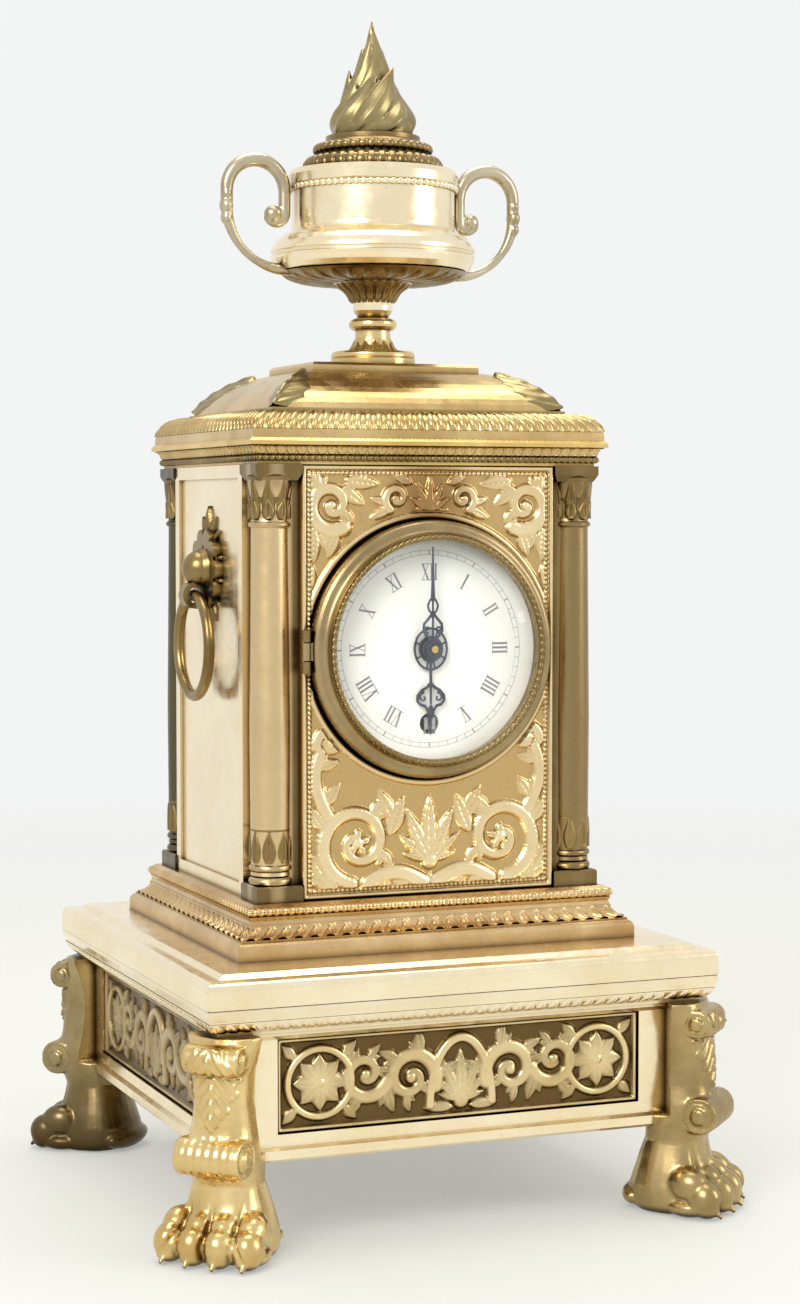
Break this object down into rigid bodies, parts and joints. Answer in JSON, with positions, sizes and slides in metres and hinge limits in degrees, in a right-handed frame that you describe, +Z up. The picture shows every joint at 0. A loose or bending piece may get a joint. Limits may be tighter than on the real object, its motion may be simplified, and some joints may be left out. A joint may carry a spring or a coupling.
{
  "type": "mantel clock",
  "caption": "Gilt brass mantel clock: square case with round dial, roof with two-handled urn, footed platform, pendulum movement.",
  "frame": {"origin": "on the table, under the middle of the case", "axes": "+Z up, the dial faces -Y, +X to the viewer's right"},
  "size_m": [0.2218, 0.2198, 0.425],
  "materials": {
    "leg_gilt": "gilt, worn",
    "pale_gilt": "polished pale gilt",
    "old_gold": "dark old gold",
    "red_gilt": "reddish gilt",
    "relief_gilt": "matt gilt relief",
    "roof_gilt": "satin gilt",
    "dark_bronze": "dark patina",
    "steel": "bright steel",
    "clear_glass": "clear",
    "enamel": "white enamel",
    "blued_steel": "blued steel",
    "movement_brass": "lacquered brass"
  },
  "bodies": {
    "clock_case": {"leg_front_left": "leg_gilt", "leg_front_right": "leg_gilt", "leg_back_left": "leg_gilt", "leg_back_right": "leg_gilt", "apron_frame": "pale_gilt", "frieze_front": "old_gold", "frieze_back": "old_gold", "frieze_left": "old_gold", "frieze_right": "old_gold", "platform_slab": "pale_gilt", "case_plinth": "red_gilt", "pillar_front_left": "old_gold", "pillar_front_right": "old_gold", "pillar_back_left": "old_gold", "pillar_back_right": "old_gold", "cornice": "roof_gilt", "front_panel": "relief_gilt", "side_panel_left": "pale_gilt", "side_panel_right": "pale_gilt", "handle_boss_left": "dark_bronze", "handle_boss_right": "dark_bronze", "roof": "roof_gilt", "urn_stem": "roof_gilt", "urn_body": "pale_gilt", "urn_handle_left": "roof_gilt", "urn_handle_right": "roof_gilt", "urn_lid": "dark_bronze", "finial": "dark_bronze", "urn_tie_rod": "steel", "door_hinges": "relief_gilt", "dial": "enamel", "bezel_hinge": "dark_bronze", "front_plate": "movement_brass", "back_plate": "movement_brass", "plate_posts": "movement_brass", "movement_posts": "steel", "back_cock": "movement_brass", "base_bolts": "steel"},
    "bezel_group": {"bezel": "dark_bronze", "dial_glass": "clear_glass"},
    "back_door_group": {"back_door": "relief_gilt", "back_door_glass": "clear_glass"},
    "door_latch_group": {"door_latch": "relief_gilt"},
    "ring_left": {"ring_handle_left": "red_gilt"},
    "ring_right": {"ring_handle_right": "red_gilt"},
    "minute_works": {"centre_wheel": "movement_brass", "minute_hand": "blued_steel", "hand_collet": "movement_brass"},
    "hour_works": {"hour_wheel": "movement_brass", "hour_hand": "blued_steel"},
    "minute_wheel_works": {"minute_wheel": "movement_brass"},
    "intermediate_works": {"intermediate_wheel": "movement_brass"},
    "barrel_works": {"going_barrel": "movement_brass"},
    "winding_works": {"winding_arbor": "steel"},
    "click_group": {"click": "steel"},
    "third_works": {"third_wheel": "movement_brass"},
    "escape_works": {"escape_wheel": "movement_brass"},
    "anchor_group": {"anchor": "steel"},
    "pendulum": {"pendulum_rod": "movement_brass", "pendulum_bob": "movement_brass"}
  },
  "joints": [
    {"name": "minute_turn", "type": "hinge", "parent": "clock_case", "child": "minute_works", "pos_m": [0, -0.03, 0.198], "axis": [0, 1, 0], "continuous": true},
    {"name": "hour_turn", "type": "hinge", "parent": "clock_case", "child": "hour_works", "pos_m": [0, -0.03, 0.198], "axis": [0, 1, 0], "continuous": true},
    {"name": "minute_wheel_turn", "type": "hinge", "parent": "clock_case", "child": "minute_wheel_works", "pos_m": [0.01039, -0.03, 0.204], "axis": [0, 1, 0], "continuous": true},
    {"name": "intermediate_turn", "type": "hinge", "parent": "clock_case", "child": "intermediate_works", "pos_m": [0.01728, -0.03, 0.18951], "axis": [0, 1, 0], "continuous": true},
    {"name": "barrel_turn", "type": "hinge", "parent": "clock_case", "child": "barrel_works", "pos_m": [0, -0.03, 0.172], "axis": [0, 1, 0], "continuous": true},
    {"name": "third_turn", "type": "hinge", "parent": "clock_case", "child": "third_works", "pos_m": [-0.00997, -0.03, 0.21323], "axis": [0, 1, 0], "continuous": true},
    {"name": "escape_turn", "type": "hinge", "parent": "clock_case", "child": "escape_works", "pos_m": [0, -0.03, 0.226], "axis": [0, 1, 0], "continuous": true},
    {"name": "winding_turn", "type": "hinge", "parent": "clock_case", "child": "winding_works", "pos_m": [0, -0.03, 0.172], "axis": [0, 1, 0], "range_deg": [0, 1620]},
    {"name": "click_lift", "type": "hinge", "parent": "clock_case", "child": "click_group", "pos_m": [-0.0115, -0.03, 0.1775], "axis": [0, 1, 0], "range_deg": [-12, 0], "stiffness_Nm_per_rad": 0.002},
    {"name": "pendulum_swing", "type": "hinge", "parent": "clock_case", "child": "pendulum", "pos_m": [0, 0, 0.2415], "axis": [0, 1, 0], "range_deg": [-3.5, 3.5]},
    {"name": "anchor_swing", "type": "hinge", "parent": "clock_case", "child": "anchor_group", "pos_m": [0, -0.03, 0.2415], "axis": [0, 1, 0], "range_deg": [-3.5, 3.5]},
    {"name": "bezel_open", "type": "hinge", "parent": "clock_case", "child": "bezel_group", "pos_m": [-0.047, -0.0579, 0.198], "axis": [0, 0, -1], "range_deg": [0, 110]},
    {"name": "back_door_open", "type": "hinge", "parent": "clock_case", "child": "back_door_group", "pos_m": [0.0475, 0.0582, 0.187], "axis": [0, 0, -1], "range_deg": [0, 110]},
    {"name": "latch_turn", "type": "hinge", "parent": "back_door_group", "child": "door_latch_group", "pos_m": [-0.043, 0.056, 0.187], "axis": [0, -1, 0], "range_deg": [0, 90]},
    {"name": "ring_left_swing", "type": "hinge", "parent": "clock_case", "child": "ring_left", "pos_m": [-0.069, 0, 0.216], "axis": [0, 1, 0], "range_deg": [0, 100]},
    {"name": "ring_right_swing", "type": "hinge", "parent": "clock_case", "child": "ring_right", "pos_m": [0.069, 0, 0.216], "axis": [0, -1, 0], "range_deg": [0, 100]}
  ],
  "couplings": [
    {"joint": "hour_turn", "follows": "minute_turn", "ratio": 0.083333},
    {"joint": "minute_wheel_turn", "follows": "minute_turn", "ratio": -0.33333},
    {"joint": "intermediate_turn", "follows": "minute_turn", "ratio": -0.16667},
    {"joint": "barrel_turn", "follows": "minute_turn", "ratio": 0.023148},
    {"joint": "third_turn", "follows": "minute_turn", "ratio": -12},
    {"joint": "escape_turn", "follows": "minute_turn", "ratio": 168},
    {"joint": "anchor_swing", "follows": "pendulum_swing", "ratio": 1}
  ]
}
